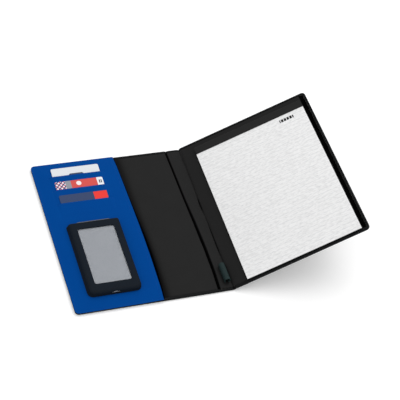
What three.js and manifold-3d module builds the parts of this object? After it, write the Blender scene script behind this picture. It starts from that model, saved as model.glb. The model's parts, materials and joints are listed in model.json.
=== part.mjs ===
// An A4 document folder that opens like a book, shown open with its right cover half raised.
// The left cover carries a blue document pocket with three card slots and a phone pocket on it.
// The right cover carries a writing pad whose backing card slides behind the lining.
// A soft spine with a pen loop joins them along two fold lines.
//
// Millimetres. The origin is the middle of the spine's outer face, +X points to the right cover,
// +Y to the head of the pages and +Z up. The left cover and the spine lie flat.

import * as THREE from "three";
import { mergeVertices } from "three/addons/utils/BufferGeometryUtils.js";
import Module from "manifold-3d";

const wasm = await Module();
wasm.setup();

// Covers and spine
const coverHeight = 317;
const coverWidth = 250;
const coverCorner = 7;
const spinePitch = 25;
const foldGap = 4;
const hingeInset = 0.8;
const restOpening = THREE.MathUtils.degToRad(28);

// Layers of a cover, from the outside in, and the seam gap between any two of them
const skinThickness = 1;
const boardThickness = 2;
const liningThickness = 0.6;
const layerGap = 0.3;
const liningSetback = 3;
const skinRounding = 0.6;

// Blue document pocket
const pocketWidth = 149;
const pocketSheet = 0.8;
const pocketRise = 3.4;
const pocketEdge = 0.9;
const pocketSlope = 8;
const pocketSeam = 2.5;
const pocketInset = 0.6;

// Cards and their slots
const cardWidth = 85.6;
const cardHeight = 54;
const cardThickness = 0.76;
const cardCorner = 3.2;
const cardCount = 3;
const cardShows = 17.3;
const cardPlay = 0.25;
const cardSideRoom = 0.7;
const firstSlotDrop = 32.2;
const slotPitch = 30.3;
const slotTuck = 2;
const stripLap = 1;
const cheekWidth = 1.5;
const trayWall = 0.6;

// Phone pocket, its window and the phone in it
const phonePocketWidth = 89;
const phonePocketHeight = 149;
const phonePocketDepth = 9.1;
const phonePocketWall = 1.2;
const phonePocketCorner = 6;
const phonePocketMouthCorner = 3;
const phonePocketFoot = 25.5;
const windowSide = 14;
const windowEnd = 17;
const windowCorner = 4;
const portWidth = 15;
const portHeight = 5;
const filmThickness = 0.3;
const filmLap = 4;
const phoneWidth = 67;
const phoneThickness = 6.8;
const phoneCorner = 8;
const phoneRounding = 0.6;
const phoneProud = 0.8;
const phoneRest = 3;
const displayThickness = 0.6;
const displayBorder = 2;
const displayCorner = 6;

// Writing pad
const padWidth = 210;
const padHeight = 297;
const padThickness = 3;
const padBacking = 0.8;
const padFromFold = 29.5;
const padHeadMargin = 16.5;
const tapeDepth = 12.6;
const tapeThickness = 0.4;
const padSlotDepth = 82;
const padSlotPlay = 1.5;

// Pen loop
const loopBore = 8;
const loopBand = 1.2;
const loopLength = 40;
const loopTab = 12;
const loopFromFoot = 9.5;

const roundSteps = 6;

// How far a block that cuts something runs past it
const overrun = 5;

// Places worked out from the sizes above
const halfHeight = coverHeight / 2;
const spineHalf = (spinePitch - foldGap) / 2;
const hingeX = spineHalf + hingeInset;
const hingeZ = skinThickness / 2;
const coverStart = spinePitch / 2 + foldGap / 2;
const coverEnd = spinePitch / 2 + coverWidth;
const boardBottom = skinThickness + layerGap;
const boardTop = boardBottom + boardThickness;
const liningBottom = boardTop + layerGap;
const liningTop = liningBottom + liningThickness;
const coverInset = skinThickness + layerGap;
const padLiningBottom = liningBottom + padBacking + layerGap;
const padLiningTop = padLiningBottom + liningThickness;
const spineRimHalf = hingeX - (padLiningTop - hingeZ) - layerGap;
const pocketBottom = liningTop + layerGap;
const pocketTop = liningTop + pocketRise;
const pocketMouthX = -coverEnd + pocketWidth;
const pocketMiddleX = -coverEnd + pocketWidth / 2;

// Makes a material with the colour and finish of one real surface.
function finish(color, roughness, metalness = 0) {
  return new THREE.MeshStandardMaterial({ color, roughness, metalness });
}

const materials = {
  skin: finish(0x1d1e20, 0.6),
  board: finish(0x8a8478, 0.9),
  lining: finish(0x262626, 0.7),
  bluePanel: finish(0x0a4596, 0.55),
  cardWhite: finish(0xe1e4e8, 0.35),
  cardCoral: finish(0xe0504b, 0.35),
  cardSlate: finish(0x37466e, 0.35),
  phonePocket: finish(0x1c1e24, 0.5),
  film: new THREE.MeshStandardMaterial({
    color: 0xdfe5ea,
    roughness: 0.12,
    transparent: true,
    opacity: 0.35,
  }),
  phoneBody: finish(0x9a9da1, 0.35, 0.6),
  display: finish(0x969ca2, 0.15),
  paper: finish(0xe2e2df, 0.85),
  backing: finish(0xa79f90, 0.9),
  tape: finish(0x232323, 0.5),
  elastic: finish(0x24292b, 0.8),
};

// Turns a closed geometry into a solid that can be cut and joined.
function solid(geometry) {
  const bare = geometry.clone();
  bare.deleteAttribute("normal");
  bare.deleteAttribute("uv");
  const merged = mergeVertices(bare, 1e-4);
  return new wasm.Manifold(
    new wasm.Mesh({
      numProp: 3,
      vertProperties: new Float32Array(merged.attributes.position.array),
      triVerts: new Uint32Array(merged.index.array),
    }),
  );
}

// Turns a solid back into a geometry.
function geometryOf(body) {
  const mesh = body.getMesh();
  const geometry = new THREE.BufferGeometry();
  geometry.setAttribute("position", new THREE.BufferAttribute(mesh.vertProperties, 3));
  geometry.setIndex(new THREE.BufferAttribute(mesh.triVerts, 1));
  geometry.computeVertexNormals();
  return geometry;
}

// Names one sub-part and gives it its material.
function piece(name, body, material) {
  const geometry = body.isBufferGeometry ? body : geometryOf(body);
  const mesh = new THREE.Mesh(geometry, material);
  mesh.name = name;
  return mesh;
}

// A closed outline through the corners, each rounded by its own radius.
function outline(corners) {
  const shape = new THREE.Shape();
  const points = corners.map(([x, y]) => new THREE.Vector2(x, y));
  corners.forEach(([, , radius = 0], i) => {
    const here = points[i];
    const before = points[(i + points.length - 1) % points.length];
    const after = points[(i + 1) % points.length];
    const enter = here.clone().add(before.clone().sub(here).setLength(radius));
    const leave = here.clone().add(after.clone().sub(here).setLength(radius));
    if (i === 0) {
      shape.moveTo(enter.x, enter.y);
    } else {
      shape.lineTo(enter.x, enter.y);
    }
    if (radius > 0) {
      shape.quadraticCurveTo(here.x, here.y, leave.x, leave.y);
    }
  });
  shape.closePath();
  return shape;
}

// A rectangle's outline. The first radius rounds its two corners at x0, the other one those at x1.
function rectangle(x0, x1, y0, y1, radius = 0, farRadius = radius) {
  return outline([
    [x0, y0, radius],
    [x1, y0, farRadius],
    [x1, y1, farRadius],
    [x0, y1, radius],
  ]);
}

// A flat plate with the given outline between two heights, its edges rounded over if asked.
function plate(shape, bottom, top, rounding = 0) {
  const geometry = new THREE.ExtrudeGeometry(shape, {
    depth: top - bottom - 2 * rounding,
    curveSegments: roundSteps,
    bevelEnabled: rounding > 0,
    bevelThickness: rounding,
    bevelSize: rounding,
    bevelOffset: -rounding,
    bevelSegments: 2,
  });
  geometry.translate(0, 0, bottom + rounding);
  return solid(geometry);
}

// A rectangular block between two corners.
function block(x0, x1, y0, y1, z0, z1) {
  const geometry = new THREE.BoxGeometry(x1 - x0, y1 - y0, z1 - z0);
  geometry.translate((x0 + x1) / 2, (y0 + y1) / 2, (z0 + z1) / 2);
  return solid(geometry);
}

// A section drawn in Y and Z, extruded along X.
function alongX(points, x0, x1) {
  const geometry = new THREE.ExtrudeGeometry(outline(points), { depth: x1 - x0, bevelEnabled: false });
  geometry.rotateY(Math.PI / 2);
  geometry.rotateX(Math.PI / 2);
  geometry.translate(x0, 0, 0);
  return solid(geometry);
}

// A section drawn in X and Z, extruded along Y over the given length about the middle.
function alongY(points, length) {
  const geometry = new THREE.ExtrudeGeometry(outline(points), { depth: length, bevelEnabled: false });
  geometry.rotateX(Math.PI / 2);
  geometry.translate(0, length / 2, 0);
  return solid(geometry);
}

// The outer skin of one cover: a sheet whose turned-up edge closes round the board on three sides.
// side is -1 for the left cover and 1 for the right one. start is where its fold side ends.
function coverSkin(side, start, end, rimTop) {
  const past = start - overrun;
  const outer = plate(
    rectangle(side * past, side * end, -halfHeight, halfHeight, 0, coverCorner),
    0,
    rimTop,
    skinRounding,
  );
  const inner = plate(
    rectangle(
      side * (past - overrun),
      side * (end - skinThickness),
      -halfHeight + skinThickness,
      halfHeight - skinThickness,
      0,
      coverCorner - skinThickness,
    ),
    skinThickness,
    rimTop + overrun,
  );
  const foldSide = [side * (past - overrun), side * start].sort((a, b) => a - b);
  const trim = block(...foldSide, -coverHeight, coverHeight, -overrun, rimTop + overrun);
  return outer.subtract(inner).subtract(trim);
}

// A flat layer inside a cover's rim, from its own start near the fold to the rim.
function coverLayer(side, start, end, bottom, top) {
  const shape = rectangle(
    side * start,
    side * (end - coverInset),
    -halfHeight + coverInset,
    halfHeight - coverInset,
    0,
    coverCorner - coverInset,
  );
  return plate(shape, bottom, top);
}

// A sheet that slopes down to a thin edge all round, as a sewn pocket does.
function pillow(x0, x1, y0, y1, bottom, edge, top, slope) {
  const geometry = new THREE.ExtrudeGeometry(rectangle(x0, x1, y0, y1), {
    depth: 2 * edge,
    bevelEnabled: true,
    bevelThickness: top - bottom - edge,
    bevelSize: slope,
    bevelOffset: -slope,
    bevelSegments: 1,
  });
  geometry.translate(0, 0, bottom - edge);
  const below = block(
    x0 - overrun,
    x1 + overrun,
    y0 - overrun,
    y1 + overrun,
    bottom - 2 * (top - bottom),
    bottom,
  );
  return solid(geometry).subtract(below);
}

const slotSlope = (pocketSheet + cardThickness + 2 * cardPlay) / slotPitch;
const cardTilt = Math.atan(slotSlope);
const cardHalf = cardWidth / 2 + cardSideRoom;
const slotAt = (k) => halfHeight - firstSlotDrop - k * slotPitch;
const slotsLow = slotAt(cardCount) - slotTuck;
const slotsHigh = slotAt(0) - slotTuck;

// The height of card k's underside at a place along the cover. It slips under the lip of its slot.
function cardUnderside(k, y) {
  return pocketTop + cardPlay + (y - slotAt(k) + slotTuck) * slotSlope;
}

// The strip of the blue sheet below slot k. Its upper edge is the slot's lip, and it falls to just
// below the sheet's own level under the next slot. Its side cheeks close it down to the sheet.
function slotStrip(k) {
  const low = slotAt(k + 1) - slotTuck - stripLap;
  const high = slotAt(k);
  const drop = stripLap * slotSlope;
  const rise = (high - low) * slotSlope - drop;
  const under = pocketTop - pocketSheet;
  const outerHalf = cardHalf + cheekWidth;
  const strip = alongX(
    [
      [low, under - drop],
      [high, under + rise],
      [high, pocketTop + rise],
      [low, pocketTop - drop],
    ],
    pocketMiddleX - outerHalf,
    pocketMiddleX + outerHalf,
  );
  const cheek = [
    [low, pocketTop - pocketSheet / 2],
    [high, pocketTop - pocketSheet / 2],
    [high, pocketTop + rise],
    [low, pocketTop - drop],
  ];
  const left = alongX(cheek, pocketMiddleX - outerHalf, pocketMiddleX - cardHalf);
  const right = alongX(cheek, pocketMiddleX + cardHalf, pocketMiddleX + outerHalf);
  return strip.add(left).add(right);
}

// The blue panel, sewn down on three sides and open towards the spine, with its card slots.
function documentPocket() {
  const x0 = -coverEnd + pocketInset;
  const y1 = halfHeight - pocketInset;
  const past = pocketMouthX + pocketSlope + overrun;
  const steepness = (pocketTop - pocketBottom - pocketEdge) / pocketSlope;
  const body = pillow(x0, past, -y1, y1, pocketBottom, pocketEdge, pocketTop, pocketSlope);
  const space = pillow(
    x0 + pocketSeam,
    past + overrun,
    -y1 + pocketSeam,
    y1 - pocketSeam,
    pocketBottom,
    pocketEdge + steepness * pocketSeam - pocketSheet,
    pocketTop - pocketSheet,
    pocketSlope - pocketSeam,
  );
  const rounded = plate(
    rectangle(x0, pocketMouthX, -y1, y1, coverCorner - pocketInset, 0),
    pocketBottom - overrun,
    pocketTop + overrun,
  );
  const slots = block(
    pocketMiddleX - cardHalf,
    pocketMiddleX + cardHalf,
    slotsLow,
    slotsHigh,
    pocketBottom - overrun,
    pocketTop + overrun,
  );
  const under = block(x0, past + 2 * overrun, -y1, y1, pocketBottom - overrun, pocketBottom);
  let panel = body.subtract(space).subtract(under).intersect(rounded).subtract(slots);
  for (let k = 0; k < cardCount; k += 1) {
    panel = panel.add(slotStrip(k));
  }
  return panel;
}

const cardDepth = cardUnderside(0, slotAt(0) + cardShows - cardHeight);
const trayTop = cardDepth - cardPlay;

// The backing behind the cards: a shallow tray whose sides reach up to the blue sheet.
function cardBacking() {
  const half = cardHalf + trayWall;
  const low = slotAt(cardCount - 1) + cardShows - cardHeight - cardSideRoom;
  const high = slotAt(0) + slotTuck;
  const wallTop = pocketTop - pocketSheet - layerGap;
  const outer = block(
    pocketMiddleX - half,
    pocketMiddleX + half,
    low - trayWall,
    high,
    trayTop - trayWall,
    wallTop,
  );
  const inner = block(
    pocketMiddleX - cardHalf,
    pocketMiddleX + cardHalf,
    low,
    high + overrun,
    trayTop,
    wallTop + overrun,
  );
  return outer.subtract(inner);
}

// Card k, tilted so that its foot is behind the blue sheet and its head lies on it.
function card(k, material) {
  const half = cardHeight / 2;
  const shape = rectangle(-cardWidth / 2, cardWidth / 2, -half, half, cardCorner);
  const mesh = piece(`card_${k + 1}`, plate(shape, 0, cardThickness), material);
  const middle = slotAt(k) + cardShows - half * Math.cos(cardTilt);
  mesh.position.set(pocketMiddleX, middle, cardUnderside(k, middle));
  mesh.rotation.x = cardTilt;
  return mesh;
}

const phoneFoot = pocketTop + layerGap;
const phonePocketTop = phoneFoot + phonePocketDepth;
const phonePocketLow = -halfHeight + phonePocketFoot;
const phonePocketHigh = phonePocketLow + phonePocketHeight;
const phonePocketLeft = pocketMiddleX - phonePocketWidth / 2;
const phonePocketRight = pocketMiddleX + phonePocketWidth / 2;
const windowShape = rectangle(
  phonePocketLeft + windowSide,
  phonePocketRight - windowSide,
  phonePocketLow + windowEnd,
  phonePocketHigh - windowEnd,
  windowCorner,
);

// The black phone pocket: a window frame on three gusset walls, open at its head,
// with an oval hole in its foot wall for the phone's plug.
function phonePocket() {
  const outer = plate(
    outline([
      [phonePocketLeft, phonePocketLow, phonePocketCorner],
      [phonePocketRight, phonePocketLow, phonePocketCorner],
      [phonePocketRight, phonePocketHigh, phonePocketMouthCorner],
      [phonePocketLeft, phonePocketHigh, phonePocketMouthCorner],
    ]),
    phoneFoot,
    phonePocketTop,
  );
  const innerLeft = phonePocketLeft + phonePocketWall;
  const innerRight = phonePocketRight - phonePocketWall;
  const innerLow = phonePocketLow + phonePocketWall;
  const innerCorner = phonePocketCorner - phonePocketWall;
  const inner = plate(
    outline([
      [innerLeft, innerLow, innerCorner],
      [innerRight, innerLow, innerCorner],
      [innerRight, phonePocketHigh + overrun],
      [innerLeft, phonePocketHigh + overrun],
    ]),
    phoneFoot - overrun,
    phonePocketTop - phonePocketWall,
  );
  const window = plate(windowShape, phoneFoot, phonePocketTop + overrun);
  const port = new THREE.CylinderGeometry(0.5, 0.5, 4 * overrun, 4 * roundSteps);
  port.scale(portWidth, 1, portHeight);
  port.translate(pocketMiddleX, phonePocketLow, (phoneFoot + phonePocketTop) / 2);
  return outer.subtract(inner).subtract(window).subtract(solid(port));
}

// The clear film behind the window, lapping its frame.
function windowFilm() {
  const top = phonePocketTop - phonePocketWall - layerGap;
  const shape = rectangle(
    phonePocketLeft + windowSide - filmLap,
    phonePocketRight - windowSide + filmLap,
    phonePocketLow + windowEnd - filmLap,
    phonePocketHigh - windowEnd + filmLap,
    windowCorner,
  );
  return plate(shape, top - filmThickness, top);
}

const phoneLow = phonePocketLow + phonePocketWall + phoneRest;
const phoneHigh = phonePocketHigh + phoneProud;
const phoneTop = phoneFoot + phoneThickness;

// A plain phone's outline, set in by a border.
function phoneOutline(border, radius) {
  const half = phoneWidth / 2 - border;
  const low = phoneLow + border;
  const high = phoneHigh - border;
  return rectangle(pocketMiddleX - half, pocketMiddleX + half, low, high, radius);
}

// The phone's body, with a recess for its display.
function phoneBody() {
  const body = plate(phoneOutline(0, phoneCorner), phoneFoot, phoneTop, phoneRounding);
  const recess = plate(
    phoneOutline(displayBorder, displayCorner),
    phoneTop - displayThickness - layerGap,
    phoneTop + overrun,
  );
  return body.subtract(recess);
}

// The phone's display glass, seated in the recess.
function phoneDisplay() {
  const shape = phoneOutline(displayBorder + layerGap, displayCorner - layerGap);
  return plate(shape, phoneTop - displayThickness, phoneTop);
}

// The left cover with everything sewn to it or carried in its pockets.
function leftCover() {
  const group = new THREE.Group();
  const cardMaterials = [materials.cardWhite, materials.cardCoral, materials.cardSlate];
  group.add(
    piece("left_cover_skin", coverSkin(-1, coverStart, coverEnd, liningTop), materials.skin),
    piece("left_board", coverLayer(-1, coverStart, coverEnd, boardBottom, boardTop), materials.board),
    piece(
      "left_lining",
      coverLayer(-1, coverStart + liningSetback, coverEnd, liningBottom, liningTop),
      materials.lining,
    ),
    piece("document_pocket", documentPocket(), materials.bluePanel),
    piece("card_backing", cardBacking(), materials.lining),
    piece("phone_pocket", phonePocket(), materials.phonePocket),
    piece("phone_window_film", windowFilm(), materials.film),
    piece("phone_body", phoneBody(), materials.phoneBody),
    piece("phone_display", phoneDisplay(), materials.display),
  );
  for (let k = 0; k < cardCount; k += 1) {
    group.add(card(k, cardMaterials[k]));
  }
  return group;
}

// A spine layer: a plain strip between the fold lines, inside the end rims.
function spineLayer(halfWidth, bottom, top) {
  return block(-halfWidth, halfWidth, -halfHeight + coverInset, halfHeight - coverInset, bottom, top);
}

// The spine's skin, turned up at both ends. The turned-up rims stop short of the folds, where the
// rims of the covers come to when the folder closes.
function spineSkin() {
  const sheet = block(-spineHalf, spineHalf, -halfHeight, halfHeight, 0, skinThickness);
  const outer = block(-spineRimHalf, spineRimHalf, -halfHeight, halfHeight, 0, liningTop);
  const inner = block(
    -spineRimHalf - overrun,
    spineRimHalf + overrun,
    -halfHeight + skinThickness,
    halfHeight - skinThickness,
    skinThickness,
    liningTop + overrun,
  );
  return sheet.add(outer.subtract(inner));
}

// The elastic pen loop, sewn to the spine's lining by its tab.
function penLoop() {
  const outerRadius = loopBore / 2 + loopBand;
  const bottom = liningTop + layerGap;
  const middleY = -halfHeight + loopFromFoot + loopLength / 2;
  const ring = new THREE.CylinderGeometry(outerRadius, outerRadius, loopLength, 4 * roundSteps);
  const bore = new THREE.CylinderGeometry(loopBore / 2, loopBore / 2, loopLength + overrun, 4 * roundSteps);
  for (const tube of [ring, bore]) {
    tube.translate(0, middleY, bottom + outerRadius);
  }
  const tab = block(
    -loopTab / 2,
    loopTab / 2,
    middleY - loopLength / 2,
    middleY + loopLength / 2,
    bottom,
    bottom + loopBand,
  );
  return solid(ring).add(tab).subtract(solid(bore));
}

// The points of a strip of even thickness along a path drawn in X and Z.
function stripSection(path, thickness) {
  const upper = [];
  const lower = [];
  path.forEach((point, i) => {
    const before = path[Math.max(i - 1, 0)];
    const after = path[Math.min(i + 1, path.length - 1)];
    const normal = new THREE.Vector2(before.y - after.y, after.x - before.x).setLength(thickness / 2);
    upper.unshift([point.x + normal.x, point.y + normal.y]);
    lower.push([point.x - normal.x, point.y - normal.y]);
  });
  return [...lower, ...upper];
}

// A point of the raised right cover, given along the cover from its hinge and up from its outer face.
function onRightCover(along, up) {
  const point = new THREE.Vector2(along, up - hingeZ).rotateAround(new THREE.Vector2(), restOpening);
  return point.add(new THREE.Vector2(hingeX, hingeZ));
}

// The left fold of the skin lies flat between the cover and the spine.
function leftFoldSkin() {
  const path = [
    new THREE.Vector2(-coverStart + layerGap, hingeZ),
    new THREE.Vector2(-spineHalf - layerGap, hingeZ),
  ];
  return alongY(stripSection(path, skinThickness), coverHeight);
}

// The right fold of the skin bends up at the hinge line.
function rightFoldSkin() {
  const reach = coverStart - hingeX - layerGap;
  const path = [
    new THREE.Vector2(spineHalf + layerGap, hingeZ),
    new THREE.Vector2(hingeX, hingeZ),
    onRightCover(reach, hingeZ),
  ];
  return alongY(stripSection(path, skinThickness), coverHeight);
}

// The left fold of the lining is pressed down into the gap between the boards.
function leftFoldLining() {
  const level = liningBottom + liningThickness / 2;
  const floor = skinThickness + layerGap + liningThickness / 2;
  const wall = layerGap + liningThickness / 2;
  const path = [
    new THREE.Vector2(-coverStart - liningSetback + layerGap, level),
    new THREE.Vector2(-coverStart + wall, level),
    new THREE.Vector2(-coverStart + wall, floor),
    new THREE.Vector2(-spineHalf - wall, floor),
    new THREE.Vector2(-spineHalf - wall, level),
    new THREE.Vector2(-spineHalf + liningSetback - layerGap, level),
  ];
  return alongY(stripSection(path, liningThickness), coverHeight - 2 * coverInset);
}

// The right fold of the lining turns up from the spine's lining to the raised cover's lining.
function rightFoldLining() {
  const level = liningBottom + liningThickness / 2;
  const padLevel = padLiningBottom + liningThickness / 2;
  const start = spineHalf - liningSetback + layerGap;
  const reach = coverStart + liningSetback - hingeX - layerGap;
  const path = [
    new THREE.Vector2(start, level),
    new THREE.Vector2(spineHalf - hingeInset, level + hingeZ),
    onRightCover(hingeInset, padLevel),
    onRightCover(reach, padLevel),
  ];
  return alongY(stripSection(path, liningThickness), coverHeight - 2 * coverInset);
}

// The spine with its folds and the pen loop.
function spine() {
  const group = new THREE.Group();
  group.add(
    piece("spine_skin", spineSkin(), materials.skin),
    piece("spine_board", spineLayer(spineHalf, boardBottom, boardTop), materials.board),
    piece("spine_lining", spineLayer(spineHalf - liningSetback, liningBottom, liningTop), materials.lining),
    piece("left_fold_skin", leftFoldSkin(), materials.skin),
    piece("left_fold_lining", leftFoldLining(), materials.lining),
    piece("right_fold_skin", rightFoldSkin(), materials.skin),
    piece("right_fold_lining", rightFoldLining(), materials.lining),
    piece("pen_loop", penLoop(), materials.elastic),
  );
  return group;
}

const rightStart = coverStart - hingeX;
const rightEnd = coverEnd - hingeX;
const padLeft = padFromFold;
const padRight = padLeft + padWidth;
const padHigh = halfHeight - padHeadMargin;
const padLow = padHigh - padHeight;
const sheetsBottom = padLiningTop + layerGap;
const sheetsTop = sheetsBottom + padThickness;

// The right lining, with a wide slot near the head that the pad's backing card slides into.
function rightLining() {
  const sheet = coverLayer(1, rightStart + liningSetback, rightEnd, padLiningBottom, padLiningTop);
  const slot = block(
    padLeft - padSlotPlay,
    padRight + padSlotPlay,
    padHigh - padSlotDepth,
    padHigh + padSlotPlay,
    padLiningBottom - overrun,
    padLiningTop + overrun,
  );
  return sheet.subtract(slot);
}

// The pad's binding tape, over the head of the sheets and down to the backing card.
function padTape() {
  const front = padHigh + layerGap + tapeThickness;
  const top = sheetsTop + layerGap + tapeThickness;
  const section = [
    [padHigh - tapeDepth, top - tapeThickness],
    [padHigh + layerGap, top - tapeThickness],
    [padHigh + layerGap, liningBottom],
    [front, liningBottom],
    [front, top],
    [padHigh - tapeDepth, top],
  ];
  return alongX(section, padLeft, padRight);
}

// The right cover with its writing pad, turned up about the hinge line.
function rightCover() {
  const group = new THREE.Group();
  const padShape = rectangle(padLeft, padRight, padLow, padHigh);
  const pieces = [
    piece("right_cover_skin", coverSkin(1, rightStart, rightEnd, padLiningTop), materials.skin),
    piece("right_board", coverLayer(1, rightStart, rightEnd, boardBottom, boardTop), materials.board),
    piece("right_lining", rightLining(), materials.lining),
    piece("pad_backing", plate(padShape, liningBottom, liningBottom + padBacking), materials.backing),
    piece("pad_sheets", plate(padShape, sheetsBottom, sheetsTop), materials.paper),
    piece("pad_tape", padTape(), materials.tape),
  ];
  for (const mesh of pieces) {
    mesh.position.z = -hingeZ;
    group.add(mesh);
  }
  group.position.set(hingeX, 0, hingeZ);
  group.rotation.y = -restOpening;
  return group;
}

const folder = new THREE.Group();
folder.add(leftCover(), spine(), rightCover());

export default folder;
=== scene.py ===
# An A4 document folder that lies open with its right cover half raised: its finishes, soft sheets,
# stitching, writing pad and phone pocket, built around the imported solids. Sizes are in millimetres.
import json
import math
from functools import cached_property

import bmesh
import bpy
import numpy as np
from mathutils import Matrix, Vector, noise


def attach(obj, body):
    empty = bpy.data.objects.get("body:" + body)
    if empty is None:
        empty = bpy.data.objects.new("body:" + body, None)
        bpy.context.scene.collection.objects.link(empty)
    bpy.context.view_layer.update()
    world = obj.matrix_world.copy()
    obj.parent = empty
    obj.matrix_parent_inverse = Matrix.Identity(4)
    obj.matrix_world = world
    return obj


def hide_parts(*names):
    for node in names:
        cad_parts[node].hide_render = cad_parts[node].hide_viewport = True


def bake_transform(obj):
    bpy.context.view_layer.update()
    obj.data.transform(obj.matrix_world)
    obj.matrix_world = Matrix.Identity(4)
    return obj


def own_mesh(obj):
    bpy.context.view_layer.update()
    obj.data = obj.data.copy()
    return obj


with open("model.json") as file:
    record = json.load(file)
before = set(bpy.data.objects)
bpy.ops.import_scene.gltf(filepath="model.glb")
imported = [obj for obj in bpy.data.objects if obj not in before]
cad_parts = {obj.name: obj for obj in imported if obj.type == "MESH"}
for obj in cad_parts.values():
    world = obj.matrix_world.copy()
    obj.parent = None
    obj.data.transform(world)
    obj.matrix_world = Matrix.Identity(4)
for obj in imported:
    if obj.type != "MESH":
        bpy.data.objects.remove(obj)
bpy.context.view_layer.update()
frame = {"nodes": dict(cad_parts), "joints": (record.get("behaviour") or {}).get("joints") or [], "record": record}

MM = 0.001

# The folds, and the angle that the right cover is raised by at rest
FOLDS = {joint["name"]: joint for joint in frame["joints"]}
OPENING = -math.radians(FOLDS["right_fold"]["range_deg"][0])
RIGHT_HINGE = np.array(FOLDS["right_fold"]["pos_m"]) / MM
RIGHT_NODES = frame["record"]["behaviour"]["bodies"]["right_cover"]


def places(obj):
    """An object's points in millimetres."""
    return np.array([v.co for v in obj.data.vertices]) / MM


def turn_about_right_fold(points, angles):
    """Turns points about the right fold line, each by its own angle. A positive angle raises them."""
    x = points[:, 0] - RIGHT_HINGE[0]
    z = points[:, 2] - RIGHT_HINGE[2]
    turned = points.copy()
    turned[:, 0] = RIGHT_HINGE[0] + x * np.cos(angles) - z * np.sin(angles)
    turned[:, 2] = RIGHT_HINGE[2] + x * np.sin(angles) + z * np.cos(angles)
    return turned


def flat_box(node):
    """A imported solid's lowest and highest corner with the whole folder laid flat."""
    points = places(frame["nodes"][node])
    if node in RIGHT_NODES:
        points = turn_about_right_fold(points, -OPENING)
    return points.min(axis=0), points.max(axis=0)


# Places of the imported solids, the folder laid flat
LEFT_LOW, LEFT_HIGH = flat_box("left_cover_skin")
RIGHT_LOW, RIGHT_HIGH = flat_box("right_cover_skin")
SPINE_LOW, SPINE_HIGH = flat_box("spine_skin")
BOARD_LOW, BOARD_HIGH = flat_box("left_board")
PANEL_LOW, PANEL_HIGH = flat_box("document_pocket")
POCKET_LOW, POCKET_HIGH = flat_box("phone_pocket")
PHONE_LOW, PHONE_HIGH = flat_box("phone_body")
DISPLAY_LOW, DISPLAY_HIGH = flat_box("phone_display")
LOOP_LOW, LOOP_HIGH = flat_box("pen_loop")
SHEETS_LOW, SHEETS_HIGH = flat_box("pad_sheets")
TAPE_LOW, TAPE_HIGH = flat_box("pad_tape")
CARD_BOXES = [flat_box(f"card_{k}") for k in (1, 2, 3)]
CARD_THICKNESS = 0.76
LAYER_GAP = 0.3

# Outer skin: a sheet turned over the boards' edges, its flap pressed flat on three sides
SKIN = 1.0
FLAP = 4.6
EDGE_ROUND = 1.3
CORNER = 7.0
FOLD_DIP = 1.5
FOLD_DIP_REACH = 3.4

# The stretch that bends at each fold
LEFT_BEND = (LEFT_HIGH[0], SPINE_LOW[0])
RIGHT_BEND = (SPINE_HIGH[0], RIGHT_LOW[0])
BEND_STEP = 0.5

# Lining, and the lines of its pressed groove and of its crease as (y, x) pairs
LINING = 0.6
LEFT_LEVEL = LEFT_HIGH[2] - 0.15
RIGHT_LEVEL = RIGHT_HIGH[2] - 0.15
LINING_GAP = 0.25
LINING_SINK = (0.35, 1.5)
GROOVE = [(-152, -13.2), (-118, -11.1), (-67, -10.5), (-5, -11.3), (50, -12.8), (154, -13.7)]
GROOVE_DEPTH = 2.35
# Half the width of the groove's floor, at the head and at the foot, and the width of its walls
GROOVE_FLOOR = (0.9, 1.7)
GROOVE_WALL = 1.4
CREASE = [(-158, 9.2), (-86, 11.4), (-28, 12.0), (27, 11.0), (84, 13.6), (122, 14.6), (158, 17.0)]
CREASE_DEPTH = 0.12
CREASE_REACH = 0.9
# Where the crease is deeper, as (y, reach, depth), the rolls beside it, as (place, reach, share), and
# how uneven its depth and the cloth round it are, as (share or height, size)
CREASE_FOLDS = [(26, 17, 1.4), (-55, 30, 1.4), (100, 40, 0.25), (-130, 30, 0.25)]
CREASE_ROLLS = [(-2.8, 1.9, 1.0), (3.2, 2.4, 0.7)]
CREASE_UNEVEN = (0.35, 13)
CREASE_WANDER = (0.5, 24)
SPINE_DOME = 0.5
BOARD_SETBACK = 3.0

# Blue panel, wider than the solid by PANEL_OUTSET on its sewn sides
PANEL_SHEET = 0.8
PANEL_EDGE = 0.9
PANEL_TOP = POCKET_LOW[2] - LAYER_GAP
PANEL_SLOPE = 24.0
PANEL_CORNER = 6.8
PANEL_OUTSET = 0.9
PANEL_MIDDLE = (CARD_BOXES[0][0][0] + CARD_BOXES[0][1][0]) / 2
SEAM_INSET = 2.4
SEAM_DEPTH = 0.22
HEM_DEPTH = 0.18

# The panel's mouth, its open edge: how far it gapes and bows out, how much of a near-black strip of
# painted shadow shows beyond it, and the painted shade on the lining beside it. The names in _AT say
# where each is strongest, as (y, reach)
MOUTH_HEM = 5.0
MOUTH_GAPE = 3.6
MOUTH_GAPE_AT = (-50, 95)
MOUTH_BOW = 2.8
MOUTH_REACH = 40.0
SHADOW_STRIP_SHOWS = 4.0
SHADOW_STRIP_AT = (-70, 90)
SHADOW_STRIP_WIDTH = 12.0
MOUTH_SHADE_START = 3.0
MOUTH_SHADE = 8.5
MOUTH_SHADE_AT = (-60, 80)

# Card slots: where their lips are, and how far the sheets lap there
CARD_SHOWS = 17.3
SLOTS = [high[1] - CARD_SHOWS for low, high in CARD_BOXES]
SLOT_PITCH = SLOTS[0] - SLOTS[1]
SLOT_TUCK = 2.0
SLOT_LAP = 3.0
CARD_HALF = (CARD_BOXES[0][1][0] - CARD_BOXES[0][0][0]) / 2
SLOT_ROOM = 8.0
CARD_SLOPE = (CARD_BOXES[0][1][2] - CARD_BOXES[0][0][2] - CARD_THICKNESS) / (
    CARD_BOXES[0][1][1] - CARD_BOXES[0][0][1]
)

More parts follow.
